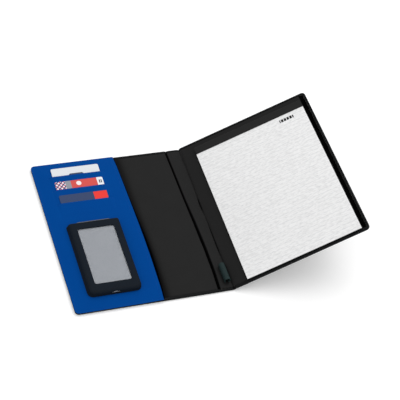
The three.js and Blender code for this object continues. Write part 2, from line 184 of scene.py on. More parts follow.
# Phone pocket: its left wall leans out, so that its foot is wider than the solid's
POCKET_WALL = 1.2
POCKET_ROUND = 4.0
POCKET_LEAN = 1.8
POCKET_FLARE = 0.8
POCKET_CORNERS = (9.0, 4.5)
WINDOW_LOW = (12.6, 18.5)
WINDOW_HIGH = (12.8, 15.3)
WINDOW_CORNERS = (4.0, 4.0)
PORT_WIDTH = 15.0
PORT_HEIGHT = 5.0

# Phone: its foot is close behind the pocket's port, and its head shows more than the solid's
PHONE_ROUND = 1.6
PHONE_CORNERS = (8.0, 8.0)
PHONE_FOOT_ROOM = 0.5
PHONE_HEAD_SHOWS = 1.0
RECESS_CORNERS = (6.0, 6.0)

# Pen loop: how far it sits towards the right fold, how much shorter it is at its foot, its thickness,
# half the angle that it is open by, and where its sewn feet end beside it
LOOP_SHIFT = 4.0
LOOP_SHORTER = 5.5
LOOP_BAND = 1.0
LOOP_OPEN_ANGLE = 35
LOOP_FOOT = (1.7, 1.2)

# Binding tape: its cloth, its bend, and how much further than the solid it reaches over the top sheet
TAPE_SHEET = 0.4
TAPE_BEND = 0.9
TAPE_LAP = 2.5

# How far the sheets' outer edge and the lowest sheet's foot lie inside the solid's, and the depth of
# the lining's trough beside the pad
PAGE_MARGIN = 1.5
PAGE_SETBACK = 2.2
TROUGH = 0.9

# Slot in the right lining that the pad's backing card slides into
PAD_SLOT_PLAY = 0.1
PAD_SLOT_DEPTH = 82.0

# Stitches, and how far the seams lie from the edges of the pocket and of the flap
STITCH_PITCH = 3.6
STITCH_LENGTH = 2.7
THREAD_RADIUS = 0.24
POCKET_SEAM = 4.0
POCKET_SEAM_CORNERS = (5.0, 3.0)
FLAP_SEAM = 1.2
FLAP_SEAM_START = 20


def smooth(t):
    """Rises from 0 to 1 without a kink as t goes from 0 to 1."""
    t = np.clip(t, 0, 1)
    return t * t * (3 - 2 * t)


def ramps(*stops):
    """Places along a line from (end, step) pairs: each stretch is filled at about its own step."""
    filled = [stops[0][0]]
    for end, step in stops[1:]:
        count = max(1, round(abs(end - filled[-1]) / step))
        filled.extend(np.linspace(filled[-1], end, count + 1)[1:])
    return np.array(filled)


def hump(distance, reach):
    """1 at no distance, falling softly to nearly 0 at twice the reach to both sides."""
    return np.exp(-((distance / reach) ** 2))


def swell(y, where):
    """A hump along the folder, at a place given as (y, reach)."""
    middle, reach = where
    return hump(y - middle, reach)


def soft_noise(x, y, size, seed):
    """Smooth noise between about -1 and 1, its bumps about size wide."""
    flat = [noise.noise((a / size, b / size, seed)) for a, b in zip(np.ravel(x), np.ravel(y))]
    return np.array(flat).reshape(np.shape(x))


# Building meshes


def add_object(name, data):
    """A new object of the scene, at the origin."""
    obj = bpy.data.objects.new(name, data)
    bpy.context.scene.collection.objects.link(obj)
    return obj


def new_object(name, points, faces, edges=()):
    """A mesh object made of points in millimetres."""
    mesh = bpy.data.meshes.new(name)
    mesh.from_pydata([tuple(p) for p in np.asarray(points) * MM], list(edges), faces)
    mesh.update()
    return add_object(name, mesh)


def move_points(obj, points):
    """Sets an object's points, given in millimetres."""
    obj.data.vertices.foreach_set("co", (points * MM).astype(np.float32).ravel())
    obj.data.update()
    return obj


def bake(obj):
    """Gives an object the mesh that its modifiers make, and returns that."""
    depsgraph = bpy.context.evaluated_depsgraph_get()
    made = bpy.data.meshes.new_from_object(obj.evaluated_get(depsgraph), depsgraph=depsgraph)
    obj.modifiers.clear()
    obj.data = made
    return made


def settle(obj, sharp=0.7):
    """Applies an object's modifiers, merges its doubles and shades it smooth between sharp edges."""
    made = bake(obj)
    bm = bmesh.new()
    bm.from_mesh(made)
    bmesh.ops.remove_doubles(bm, verts=bm.verts, dist=1e-3 * MM)
    bmesh.ops.dissolve_degenerate(bm, edges=bm.edges, dist=1e-3 * MM)
    bmesh.ops.recalc_face_normals(bm, faces=bm.faces)
    for edge in bm.edges:
        edge.smooth = len(edge.link_faces) == 2 and edge.calc_face_angle(0) < sharp
    for face in bm.faces:
        face.smooth = True
    bm.to_mesh(made)
    bm.free()
    return obj


def raise_cover(obj):
    """Lays what is beyond the right fold up at the rest opening, bending smoothly across the fold."""
    points = places(obj)
    share = smooth((points[:, 0] - RIGHT_BEND[0]) / (RIGHT_BEND[1] - RIGHT_BEND[0]))
    return move_points(obj, turn_about_right_fold(points, OPENING * share))


def keep_flat_places(obj):
    """Stores each point's place on the flat folder, for the patterns that follow the surface."""
    layer = obj.data.attributes.new("flat", "FLOAT_VECTOR", "POINT")
    layer.data.foreach_set("vector", (places(obj) * MM).astype(np.float32).ravel())
    return obj


def grid_sheet(name, xs, ys, height, thickness, keep=None, warp=None, slits=()):
    """A sheet over a grid. height gives its upper face, and keep says which cells it has. A slit is
    (y, lowest x, highest x, lower height, lap): there the far side goes on under the near side."""
    gx, gy = np.meshgrid(xs, ys)
    points = np.stack([gx, gy, height(gx, gy)], axis=-1).reshape(-1, 3)
    wide = len(xs)
    index = np.arange(gx.size).reshape(gx.shape)
    far = index.copy()
    laps = []
    for y, low_x, high_x, lower, lap in slits:
        row = int(np.argmin(np.abs(ys - y)))
        torn = [c for c in range(wide) if low_x < xs[c] < high_x]
        edge = np.array([[xs[c], ys[row], lower(xs[c], ys[row])] for c in torn])
        tucked = np.array([[xs[c], ys[row] - lap, lower(xs[c], ys[row] - lap)] for c in torn])
        first = len(points)
        points = np.concatenate([points, edge, tucked])
        far[row, torn] = range(first, first + len(torn))
        for i in range(len(torn) - 1):
            a = first + i
            b = first + len(torn) + i
            laps.append((b, b + 1, a + 1, a))
    faces = []
    for r in range(len(ys) - 1):
        for c in range(wide - 1):
            middle = ((xs[c] + xs[c + 1]) / 2, (ys[r] + ys[r + 1]) / 2)
            if keep is None or keep(*middle):
                faces.append((far[r, c], far[r, c + 1], index[r + 1, c + 1], index[r + 1, c]))
    if warp is not None:
        points = warp(points)
    obj = new_object(name, points, [tuple(int(i) for i in f) for f in faces + laps])
    wall = obj.modifiers.new("thickness", "SOLIDIFY")
    wall.thickness = thickness * MM
    wall.offset = -1
    wall.use_even_offset = True
    return settle(obj)


def round_left_corners(points, low_x, low_y, high_y, radius):
    """Moves a grid's points so that its two corners on the left are round."""
    warped = points.copy()
    for end, centre in ((-1, low_y + radius), (1, high_y - radius)):
        dx = low_x + radius - points[:, 0]
        dy = (points[:, 1] - centre) * end
        inside = (dx > 0) & (dy > 0)
        scale = np.where(inside, np.maximum(dx, dy) / np.maximum(np.hypot(dx, dy), 1e-9), 1)
        warped[:, 0] = np.where(inside, low_x + radius - dx * scale, warped[:, 0])
        warped[:, 1] = np.where(inside, centre + end * dy * scale, warped[:, 1])
    return warped


def lofted(name, rings, closed=False, sharp=0.7):
    """A solid through rings of points that match one by one, closed to a loop or capped."""
    count = len(rings[0])
    pairs = list(zip(range(len(rings)), range(1, len(rings))))
    if closed:
        pairs.append((len(rings) - 1, 0))
    faces = []
    for near, far in pairs:
        for j in range(count):
            after = (j + 1) % count
            faces.append((near * count + j, near * count + after, far * count + after, far * count + j))
    if not closed:
        faces.append(tuple(range(count)))
        faces.append(tuple(range((len(rings) - 1) * count, len(rings) * count)))
    return settle(new_object(name, [point for ring in rings for point in ring], faces), sharp)


# The outer skin


def rim_height(x):
    """The height of the turned-up edge, which dips into each fold."""
    level = LEFT_HIGH[2] + (RIGHT_HIGH[2] - LEFT_HIGH[2]) * smooth((x - RIGHT_BEND[1]) / FOLD_DIP_REACH)
    for bend in (LEFT_BEND, RIGHT_BEND):
        away = np.abs(x - sum(bend) / 2)
        level = level - FOLD_DIP * (1 - smooth(away / FOLD_DIP_REACH))
    return level


def edge_profile(rim):
    """The skin's section at an edge as (inset, height) pairs, from under the board to over it."""

    def around(radius):
        """The two quarter turns of the edge at a radius."""
        turns = [(radius * math.sin(a), radius * math.cos(a)) for a in np.linspace(0, math.pi / 2, 5)]
        low = [(EDGE_ROUND - sine, EDGE_ROUND - cosine) for sine, cosine in turns]
        return low + [(EDGE_ROUND - cosine, rim - EDGE_ROUND + sine) for sine, cosine in turns]

    lip = [(FLAP - 0.5, rim - 0.05), (FLAP, rim - 0.35), (FLAP, rim - SKIN + 0.1)]
    inner = around(EDGE_ROUND - SKIN)[::-1]
    return [(FLAP + 2, 0), *around(EDGE_ROUND), *lip, *inner, (FLAP + 2, SKIN)]


def edge_path(side, start, end):
    """Places along a cover's foot, outer edge and head, with their inward normals."""
    folds = [x for bend in (LEFT_BEND, RIGHT_BEND) for x in bend if min(start, end) < x < max(start, end)]
    near = sorted(folds, key=lambda x: abs(x - start))
    stops = [(start, 0)] + [(x, BEND_STEP if i % 2 else 3) for i, x in enumerate(near)]
    stops += [(near[-1] + side * 6, BEND_STEP * 2), (end - side * CORNER, 12)]
    xs = ramps(*stops)
    low = LEFT_LOW[1]
    foot = [((x, low), (0, 1)) for x in xs]
    inwards = [(-side * math.sin(a), math.cos(a)) for a in np.linspace(0, math.pi / 2, 7)[1:]]
    centre = (end - side * CORNER, low + CORNER)
    half = foot + [((centre[0] - CORNER * nx, centre[1] - CORNER * ny), (nx, ny)) for nx, ny in inwards]
    sides = [((end, y), (-side, 0)) for y in np.linspace(low + CORNER, -low - CORNER, 14)[1:-1]]
    return half + sides + [((x, -y), (nx, -ny)) for (x, y), (nx, ny) in half[::-1]]


def outer_skin(name, side, end):
    """Half of the outer skin, from the middle of the spine to a cover's outer edge."""
    path = edge_path(side, 0, end)
    rows = []
    for (x, y), (nx, ny) in path:
        rows.append([(x + nx * d, y + ny * d, z) for d, z in edge_profile(float(rim_height(x)))])
    count = len(rows[0])
    points = [p for row in rows for p in row]
    faces = []
    for i in range(len(rows) - 1):
        for j in range(count - 1):
            a = i * count + j
            faces.append((a, a + 1, a + count + 1, a + count))
    last = (len(rows) - 1) * count
    faces.append([i * count for i in range(len(rows))])
    faces.append([i * count + count - 1 for i in range(len(rows))])
    faces.append(list(range(count)) + list(range(last + count - 1, last - 1, -1)))
    obj = new_object(name, points, faces)
    bm = bmesh.new()
    bm.from_mesh(obj.data)
    bend = LEFT_BEND if side < 0 else RIGHT_BEND
    for x in ramps((bend[0], 0), (bend[1], BEND_STEP)):
        everything = bm.verts[:] + bm.edges[:] + bm.faces[:]
        bmesh.ops.bisect_plane(
            bm, geom=everything, dist=1e-3 * MM, plane_co=(x * MM, 0, 0), plane_no=(1, 0, 0)
        )
    bm.to_mesh(obj.data)
    bm.free()
    return settle(obj)


# The inner lining and the boards between it and the skin


def line_at(line, y):
    """The x of a line given as (y, x) pairs."""
    return np.interp(y, [a for a, b in line], [b for a, b in line])


def groove_share(x, y):
    """1 on the floor of the pressed groove and 0 outside it."""
    narrow, wide = GROOVE_FLOOR
    floor = narrow + (wide - narrow) * smooth((70 - y) / 120)
    return 1 - smooth((np.abs(x - line_at(GROOVE, y)) - floor) / GROOVE_WALL)


def crease_depth(y):
    """How deep the crease is at each place along it."""
    folds = sum(depth * hump(y - at, reach) for at, reach, depth in CREASE_FOLDS)
    share, size = CREASE_UNEVEN
    return (CREASE_DEPTH + folds) * (1 + share * soft_noise(y, 0 * y, size, 6.6))


def crease_share(x, y):
    """1 at the bottom of the crease, falling to 0 beside it."""
    return hump(x - line_at(CREASE, y), CREASE_REACH)


def inner_height(x, y):
    """The lining's upper face over the whole flat spread."""
    level = LEFT_LEVEL + (RIGHT_LEVEL - LEFT_LEVEL) * smooth((x - RIGHT_BEND[0]) / 8)
    level = level + 0.12 * soft_noise(x, y, 70, 1.7) - TROUGH * smooth((x - SHEETS_HIGH[0] - 0.4) / 2)
    dome = 1 - smooth((np.abs(x + 1) - 2) / 9)
    level = level - GROOVE_DEPTH * groove_share(x, y) + SPINE_DOME * dome
    away = x - line_at(CREASE, y)
    rolls = sum(share * hump(away - at, reach) for at, reach, share in CREASE_ROLLS)
    height, size = CREASE_WANDER
    wander = height * soft_noise(x * 3, y, size, 4.1) * hump(away, 9)
    return level + crease_depth(y) * (0.3 * rolls - crease_share(x, y)) + wander


def store_shade_to_paint(obj):
    """Stores how much painted shade each point of the lining gets: in the pressed groove, where the
    crease is deep, beside the panel's mouth and beside the pad's outer edge.
    """
    x, y = places(obj)[:, :2].T
    in_crease = smooth((crease_depth(y) - 0.7) / 0.6) * crease_share(x, y)
    beyond = np.maximum(x - PANEL_HIGH[0] - MOUTH_BOW - MOUTH_SHADE_START, 0)
    at_mouth = hump(beyond, MOUTH_SHADE) * (0.6 + 0.4 * swell(y, MOUTH_SHADE_AT)) * (x < 0)
    beside_pad = smooth((x - SHEETS_HIGH[0] + PAGE_MARGIN) / 1.5)
    shares = np.max([groove_share(x, y), in_crease, at_mouth, beside_pad], axis=0)
    layer = obj.data.attributes.new("painted_shade", "FLOAT", "POINT")
    layer.data.foreach_set("value", shares.astype(np.float32))
    return obj


def lining(name, side, hole=None):
    """Half of the lining, from the middle of the spine to a cover's flap, where it sinks a little."""
    end = (LEFT_LOW[0] if side < 0 else RIGHT_HIGH[0]) - side * (FLAP + LINING_GAP)
    half = LEFT_HIGH[1] - FLAP - LINING_GAP
    depth, reach = LINING_SINK
    far_bend = LEFT_BEND[0] if side < 0 else RIGHT_BEND[1]
    stops = [(0, 0), (side * 6, 2), (far_bend + side * 8, BEND_STEP)]
    stops += [(PANEL_HIGH[0] + 24, 6), (PANEL_HIGH[0] - 2, 1.5)] if side < 0 else [(SHEETS_HIGH[0] - 4, 6)]
    stops += [(end - side * 3, 2), (end, 0.75)]
    xs = np.sort(ramps(*stops))
    ys = ramps((-half, 0), (3 - half, 0.75), (half - 3, 4), (half, 0.75))
    if hole is not None:
        low, high = hole
        xs = np.unique(np.concatenate([xs, [low[0], high[0]]]))
        ys = np.unique(np.concatenate([ys, [low[1], high[1]]]))

    def keep(x, y):
        return hole is None or not (low[0] < x < high[0] and low[1] < y < high[1])

    def height(x, y):
        inset = np.minimum(np.abs(x - end), half - np.abs(y))
        return inner_height(x, y) - depth * (1 - smooth(inset / reach))

    return store_shade_to_paint(grid_sheet(name, xs, ys, height, LINING, keep=keep))


def outer_board_edge(side):
    """A cover board's outer edge, its corners rounded, as the x at a y."""
    end = BOARD_LOW[0] if side < 0 else -BOARD_LOW[0]
    radius = CORNER - SKIN - LAYER_GAP

    def edge(y):
        into_corner = max(0.0, abs(y) - (BOARD_HIGH[1] - radius))
        return end - side * (radius - math.sqrt(radius**2 - min(into_corner, radius) ** 2))

    return edge


def inner_board_edge(line, bend_end, side):
    """A board's edge clear of a pressed line and of the end of a fold's bend, as the x at a y."""
    return lambda y: side * max(side * bend_end, side * line_at(line, y) + BOARD_SETBACK)


def board(name, low_edge, high_edge):
    """A board between two edges, each given as the x at a y."""
    end = BOARD_HIGH[1]
    low, high = BOARD_LOW[2], BOARD_HIGH[2]
    rings = []
    for y in ramps((-end, 0), (6 - end, 0.6), (end - 6, 8), (end, 0.6)):
        x0, x1 = float(low_edge(y)), float(high_edge(y))
        rings.append([(x0, y, low), (x1, y, low), (x1, y, high), (x0, y, high)])
    return lofted(name, rings, sharp=0.5)


# The blue panel with its card slots


def slot_room(x):
    """1 over a card, falling to 0 at the ends of its slot."""
    return 1 - smooth((np.abs(x - PANEL_MIDDLE) - CARD_HALF - 0.5) / (SLOT_ROOM - 0.5))


def slot_climb(y):
    """How far the blue sheet rises over a card, up to the lip of the next slot."""
    share = np.round((y - SLOTS[-1] + SLOT_PITCH) / SLOT_PITCH, 6)
    above = share - np.ceil(share) + 1
    under_a_lip = (share > 0) & (share <= len(SLOTS))
    return np.where(under_a_lip, (above * SLOT_PITCH + SLOT_TUCK) * CARD_SLOPE, 0)


def mouth_bow(points):
    """Bows the panel's open edge outwards in its middle."""
    bowed = points.copy()
    near = smooth((points[:, 0] - PANEL_HIGH[0] + MOUTH_REACH) / MOUTH_REACH)
    bowed[:, 0] += near * MOUTH_BOW * (1 - 0.75 * (points[:, 1] / PANEL_HIGH[1]) ** 2)
    return bowed


def panel_height(x, y):
    """The blue panel's upper face: low on its sewn sides, full over the cards and at its mouth."""
    low = PANEL_LOW[2] + PANEL_EDGE
    inset = np.minimum(x - PANEL_LOW[0], np.minimum(y - PANEL_LOW[1], PANEL_HIGH[1] - y))
    full = smooth(inset / PANEL_SLOPE)
    level = low + (PANEL_TOP - low) * full
    seam = SEAM_DEPTH * hump(inset - SEAM_INSET, 0.7)
    near_mouth = smooth((x - PANEL_HIGH[0] + MOUTH_REACH) / MOUTH_REACH)
    gape = MOUTH_GAPE * near_mouth * swell(y, MOUTH_GAPE_AT)
    hem = PANEL_HIGH[0] - x
    hem_line = HEM_DEPTH * hump(hem - MOUTH_HEM, 0.8)
    turned_edge = 0.5 * (1 - smooth(hem / 0.8))
    sway = 0.1 * soft_noise(x, y, 45, 7.3) * full
    return level - seam + slot_climb(y) * slot_room(x) + gape - hem_line - turned_edge + sway


def mouth_shadow_strip():
    """A near-black strip under the panel's open edge that shows along the mouth: painted shadow."""
    x1 = PANEL_HIGH[0]

    def height(x, y):
        return panel_height(np.minimum(x, x1 - 1), y) - PANEL_SHEET - 0.25

    def widen(points):
        wide = mouth_bow(points)
        share = 0.3 + 0.7 * swell(points[:, 1], SHADOW_STRIP_AT)
        wide[:, 0] += SHADOW_STRIP_SHOWS * share * smooth((points[:, 0] - x1 + SHADOW_STRIP_WIDTH) / SHADOW_STRIP_WIDTH)
        return wide

    ys = ramps((PANEL_LOW[1] + 2, 0), (PANEL_HIGH[1] - 2, 4))
    xs = np.linspace(x1 - SHADOW_STRIP_WIDTH, x1, 8)
    return grid_sheet("pocket_mouth_painted_shadow", xs, ys, height, 0.3, warp=widen)


def slot_floor(x, y):
    """The blue sheet below a slot's lip, where the card slips under it."""
    row = min(SLOTS, key=lambda s: abs(s - y))
    return PANEL_TOP + (y - row + SLOT_TUCK) * CARD_SLOPE * slot_room(x) - LAYER_GAP / 2


def blue_panel():
    """The blue document pocket's panel, torn along its card slots."""
    x0, x1 = PANEL_LOW[0], PANEL_HIGH[0]
    y0, y1 = PANEL_LOW[1], PANEL_HIGH[1]
    slot_left = PANEL_MIDDLE - CARD_HALF - SLOT_ROOM
    slot_right = PANEL_MIDDLE + CARD_HALF + SLOT_ROOM
    stops = [(x0, 0), (x0 + 4, 0.7), (slot_left - 1, 3), (slot_left + 9, 0.9)]
    stops += [(slot_right - 9, 4), (slot_right + 1, 0.9), (x1 - 8, 4), (x1 - 1, 0.9), (x1, 0.25)]
    rows = [(y0, 0), (y0 + 4, 0.7), (SLOTS[-1] - SLOT_PITCH, 4)]
    for slot in SLOTS[::-1]:
        rows += [(slot - 3, 3.4), (slot, 1)]
    rows += [(SLOTS[0] + 18, 3), (y1 - 4, 3), (y1, 0.7)]
    slits = [(slot, slot_left, slot_right, slot_floor, SLOT_LAP) for slot in SLOTS]

    def warp(points):
        outset = np.where(points[:, 1] > 0, 1, -1) * smooth((np.abs(points[:, 1]) - y1 + 4) / 4)
        spread = points.copy()
        spread[:, 0] -= PANEL_OUTSET * smooth((x0 + 4 - points[:, 0]) / 4)
        spread[:, 1] += PANEL_OUTSET * outset
        ends = (y0 - PANEL_OUTSET, y1 + PANEL_OUTSET)
        return mouth_bow(round_left_corners(spread, x0 - PANEL_OUTSET, *ends, PANEL_CORNER))

    return grid_sheet(
        "blue_panel", ramps(*stops), ramps(*rows), panel_height, PANEL_SHEET, warp=warp, slits=slits
    )


# The phone pocket and the phone


def rounded_ring(low, high, radii):
    """An outline anticlockwise from the foot side's right end, with its outward normals. radii are
    those of the foot and of the head corners. Two rings made this way match point by point."""
    foot, head = radii
    corners = [
        ((high[0] - foot, low[1] + foot), foot, -90),
        ((high[0] - head, high[1] - head), head, 0),
        ((low[0] + head, high[1] - head), head, 90),
        ((low[0] + foot, low[1] + foot), foot, 180),
    ]
    ring = []
    for i, (centre, radius, start) in enumerate(corners):
        for a in np.radians(np.linspace(start, start + 90, 8)):
            out = np.array([math.cos(a), math.sin(a)])
            ring.append((np.array(centre) + radius * out, out))
        after, next_radius, next_start = corners[(i + 1) % 4]
        a = math.radians(next_start)
        out = np.array([math.cos(a), math.sin(a)])
        begin = ring[-1][0]
        end = np.array(after) + next_radius * out
        for t in np.linspace(0, 1, 12)[1:-1]:
            ring.append((begin + (end - begin) * t, out))
    return ring


def pocket_column(edge, out, pane, pane_out):
    """The pocket's section at one place of its outline, from its foot over its top and back."""
    foot, top = POCKET_LOW[2], POCKET_HIGH[2]
    under = top - POCKET_WALL
    at_mouth = out[1] > 0.7
    wall_foot = top - POCKET_ROUND if at_mouth else foot
    lean = 0.0 if at_mouth else POCKET_FLARE + POCKET_LEAN * max(0.0, -out[0])
    inner = edge - out * POCKET_WALL
    column = [(*(edge + out * lean), wall_foot), (*(edge + out * lean * 0.35), (wall_foot + top) / 2 - 1)]
    for a in np.linspace(0, math.pi / 2, 7):
        inset = POCKET_ROUND * (1 - math.cos(a))
        column.append((*(edge - out * inset), top - POCKET_ROUND * (1 - math.sin(a))))
    column += [
        (*((edge + pane) / 2), top + 0.1),
        (*(pane + pane_out * 1.0), top - 0.02),
        (*(pane + pane_out * 0.3), top - 0.15),
        (*pane, top - 0.5),
        (*pane, under),
        (*(inner - out * 1.2), under),
        (*(inner - out * 0.3), under - 1.2),
        (*(inner + out * lean * 0.6), min(wall_foot, under - 1.3)),
    ]
    return column


def phone_pocket():
    """The phone's pocket: a window frame on three walls, open at its head, with an oval port."""
    outer = rounded_ring(POCKET_LOW[:2], POCKET_HIGH[:2], POCKET_CORNERS)
    window = rounded_ring(POCKET_LOW[:2] + WINDOW_LOW, POCKET_HIGH[:2] - WINDOW_HIGH, WINDOW_CORNERS)
    columns = [pocket_column(*edge, *pane) for edge, pane in zip(outer, window)]
    obj = lofted("phone_pocket_shell", columns, closed=True)
    middle_x = (POCKET_LOW[0] + POCKET_HIGH[0]) / 2
    middle_z = (POCKET_LOW[2] + POCKET_HIGH[2]) / 2 - 0.5
    turns = np.linspace(0, 2 * math.pi, 29)[:-1]
    oval = [
        (middle_x + PORT_WIDTH / 2 * math.cos(a), middle_z + PORT_HEIGHT / 2 * math.sin(a)) for a in turns
    ]
    ovals = [[(x, POCKET_LOW[1] + depth, z) for x, z in oval] for depth in (-6, 3)]
    cutter = lofted("port_cutter", ovals)
    cut = obj.modifiers.new("port", "BOOLEAN")
    cut.operation = "DIFFERENCE"
    cut.object = cutter
    cut.solver = "EXACT"
    settle(obj)
    bpy.data.objects.remove(cutter)
    return obj


def phone():
    """A plain phone with rounded edges and a recess for its display."""
    low = np.array([PHONE_LOW[0], POCKET_LOW[1] + POCKET_WALL + PHONE_FOOT_ROOM])
    outline = rounded_ring(low, PHONE_HIGH[:2] + (0, PHONE_HEAD_SHOWS), PHONE_CORNERS)
    gap = np.array([LAYER_GAP, LAYER_GAP])
    recess = rounded_ring(DISPLAY_LOW[:2] - gap, DISPLAY_HIGH[:2] + gap, RECESS_CORNERS)
    foot, top = PHONE_LOW[2], PHONE_HIGH[2]
    rounds = np.linspace(0, math.pi / 2, 5)
    side = [(1 - math.sin(a), foot + PHONE_ROUND * (1 - math.cos(a))) for a in rounds]
    side += [(1 - math.cos(a), top - PHONE_ROUND * (1 - math.sin(a))) for a in rounds]
    rings = [[(*(edge - out * PHONE_ROUND * inset), z) for edge, out in outline] for inset, z in side]
    floor = DISPLAY_LOW[2] - LAYER_GAP
    rings.append([(*edge, top) for edge, out in recess])
    rings.append([(*edge, floor) for edge, out in recess])
    return lofted("phone_shell", rings)


# The pen loop and the writing pad


def swept_strip(name, path, thickness, ys):
    """A strip of even thickness along a path in X and Z, as wide as ys reach."""
    path = np.array(path, dtype=float)
    along = np.gradient(path, axis=0)
    normals = np.stack([-along[:, 1], along[:, 0]], axis=1)
    normals /= np.linalg.norm(normals, axis=1)[:, None]
    section = np.concatenate([path + normals * thickness / 2, (path - normals * thickness / 2)[::-1]])
    return lofted(name, [[(x, y, z) for x, z in section] for y in ys])


def pen_loop():
    """The elastic pen loop, an open loop with both ends sewn flat to the spine."""
    bottom = LOOP_LOW[2] + LOOP_BAND / 2
    radius = (LOOP_HIGH[2] - LOOP_LOW[2] - LOOP_BAND) / 2
    turns = np.radians(np.linspace(LOOP_OPEN_ANGLE - 90, 270 - LOOP_OPEN_ANGLE, 40))
    loop = [(radius * math.cos(a), bottom + radius + radius * math.sin(a)) for a in turns]
    far, near = LOOP_FOOT
    foot = [(x, bottom) for x in np.linspace(loop[0][0] + far, loop[0][0] + near, 3)]
    path = foot + loop + [(-x, z) for x, z in foot[::-1]]
    low, high = LOOP_LOW[1] + LOOP_SHORTER, LOOP_HIGH[1]
    ys = ramps((low, 0), (low + 1.5, 0.3), (high - 1.5, 3), (high, 0.3))
    return swept_strip("pen_loop_band", [(x + LOOP_SHIFT, z) for x, z in path], LOOP_BAND, ys)


def page_block():
    """The sheets below the top one, their edges very slightly uneven."""
    low, high = SHEETS_LOW, SHEETS_HIGH
    rings = []
    for i, z in enumerate(np.linspace(low[2], high[2] - 0.25, 12)):
        inset = 0.25 * abs(noise.noise((i * 1.7, 0.4, 2.2)))
        x0, x1 = low[0] + inset, high[0] - inset - PAGE_MARGIN
        y0 = low[1] + inset + PAGE_SETBACK * (1 - i / 11)
        rings.append([(x0, y0, z), (x1, y0, z), (x1, high[1], z), (x0, high[1], z)])
    return lofted("pad_pages", rings, sharp=0.3)


def top_page():
    """The top sheet, which lifts a little at its free foot corners."""
    low, high = SHEETS_LOW, SHEETS_HIGH

    def height(x, y):
        from_foot = np.clip(1 - (y - low[1]) / 60, 0, 1)
        right = np.clip(1 - (high[0] - x) / 60, 0, 1)
        left = 0.7 * np.clip(1 - (x - low[0]) / 50, 0, 1)
        lift = 1.2 * (from_foot * np.maximum(left, right)) ** 2
        ripple = 0.1 * (1 + soft_noise(x, y, 80, 9.2)) * smooth((high[1] - y) / 40)
        return high[2] - 0.05 + lift + ripple

    xs = ramps((low[0], 0), (high[0] - PAGE_MARGIN, 6))
    return grid_sheet("pad_top_page", xs, ramps((low[1], 0), (high[1], 6)), height, 0.12)


def binding_tape():
    """The cloth tape over the pad's head, pressed over the sheets' edge."""
    low, high = TAPE_LOW, TAPE_HIGH
    top = high[2] - TAPE_SHEET / 2
    front = high[1] - TAPE_SHEET / 2
    path = [(y, top) for y in np.linspace(low[1] - TAPE_LAP, front - TAPE_BEND, 5)]
    for a in np.radians(np.linspace(0, 90, 6))[1:]:
        path.append((front - TAPE_BEND * (1 - math.sin(a)), top - TAPE_BEND * (1 - math.cos(a))))
    path += [(front, z) for z in np.linspace(top - TAPE_BEND, low[2], 5)[1:]]
    xs = np.linspace(low[0], high[0] - PAGE_MARGIN, 8)
    strip = swept_strip("pad_tape_strip", path, TAPE_SHEET, xs)
    move_points(strip, places(strip)[:, [1, 0, 2]])
    strip.data.flip_normals()
    return strip


# Nodes and colours


def give(tree, socket, value):
    """Gives an input a value, or links another node's output to it."""
    if isinstance(value, bpy.types.NodeSocket):
        tree.links.new(value, socket)
    else:
        socket.default_value = value


def add_node(tree, kind, links=None, **settings):
    """Adds one node with its settings. links gives an input a value or another node's output."""
    node = tree.nodes.new(kind)
    for name, value in settings.items():
        setattr(node, name, value)
    for name, value in (links or {}).items():
        give(tree, node.inputs[name], value)
    return node


def output_of(tree, kind, output, links=None, **settings):
    """Adds one node and returns one of its outputs."""
    return add_node(tree, kind, links, **settings).outputs[output]


def colour(text):
    """A colour written as sRGB hex, turned to linear light."""
    channels = [int(text[i : i + 2], 16) / 255 for i in (1, 3, 5)]
    return tuple(c / 12.92 if c <= 0.04045 else ((c + 0.055) / 1.055) ** 2.4 for c in channels) + (1.0,)


# Stitches


def stitch_tree():
    """Geometry nodes that lay stitches along the edges of a path."""
    tree = bpy.data.node_groups.new("stitches along a path", "GeometryNodeTree")
    inputs = {"Geometry": "Geometry", "Pitch": "Float", "Stitch length": "Float"}
    inputs |= {"Thread radius": "Float", "Thread": "Material"}
    for name, kind in inputs.items():
        tree.interface.new_socket(name, in_out="INPUT", socket_type=f"NodeSocket{kind}")
    tree.interface.new_socket("Geometry", in_out="OUTPUT", socket_type="NodeSocketGeometry")
    given = add_node(tree, "NodeGroupInput").outputs
    curve = output_of(tree, "GeometryNodeMeshToCurve", "Curve", {"Mesh": given["Geometry"]})
    links = {"Curve": curve, "Length": given["Pitch"]}
    spots = add_node(tree, "GeometryNodeCurveToPoints", links, mode="LENGTH").outputs
    links = {"Vector": spots["Tangent"]}
    aligned = output_of(tree, "FunctionNodeAlignRotationToVector", "Rotation", links, axis="X")
    links = {"X": given["Stitch length"], "Y": given["Thread radius"], "Z": given["Thread radius"]}
    shape = output_of(tree, "ShaderNodeCombineXYZ", "Vector", links)
    ball = output_of(tree, "GeometryNodeMeshIcoSphere", "Mesh", {"Radius": 1.0, "Subdivisions": 2})
    links = {"Points": spots["Points"], "Instance": ball, "Rotation": aligned, "Scale": shape}
    threads = output_of(tree, "GeometryNodeInstanceOnPoints", "Instances", links)
    real = output_of(tree, "GeometryNodeRealizeInstances", "Geometry", {"Geometry": threads})
    links = {"Geometry": real, "Material": given["Thread"]}
    coloured = output_of(tree, "GeometryNodeSetMaterial", "Geometry", links)
    add_node(tree, "NodeGroupOutput", {"Geometry": coloured})
    return tree


def stitches(name, tree, paths, thread):
    """Stitches along several paths, each a list of points in millimetres on the surface."""
    points = []
    edges = []
    for path in paths:
        first = len(points)
        points += [tuple(p) for p in path]
        edges += [(first + i, first + i + 1) for i in range(len(path) - 1)]
    obj = new_object(name, points, [], edges)
    maker = obj.modifiers.new("stitches", "NODES")
    maker.node_group = tree
    values = {
        "Pitch": STITCH_PITCH * MM,
        "Stitch length": STITCH_LENGTH / 2 * MM,
        "Thread radius": THREAD_RADIUS * MM,
        "Thread": thread,
    }
    for item in tree.interface.items_tree:
        if item.in_out == "INPUT" and item.name in values:
            maker[item.identifier] = values[item.name]
    bake(obj).shade_smooth()
    return obj


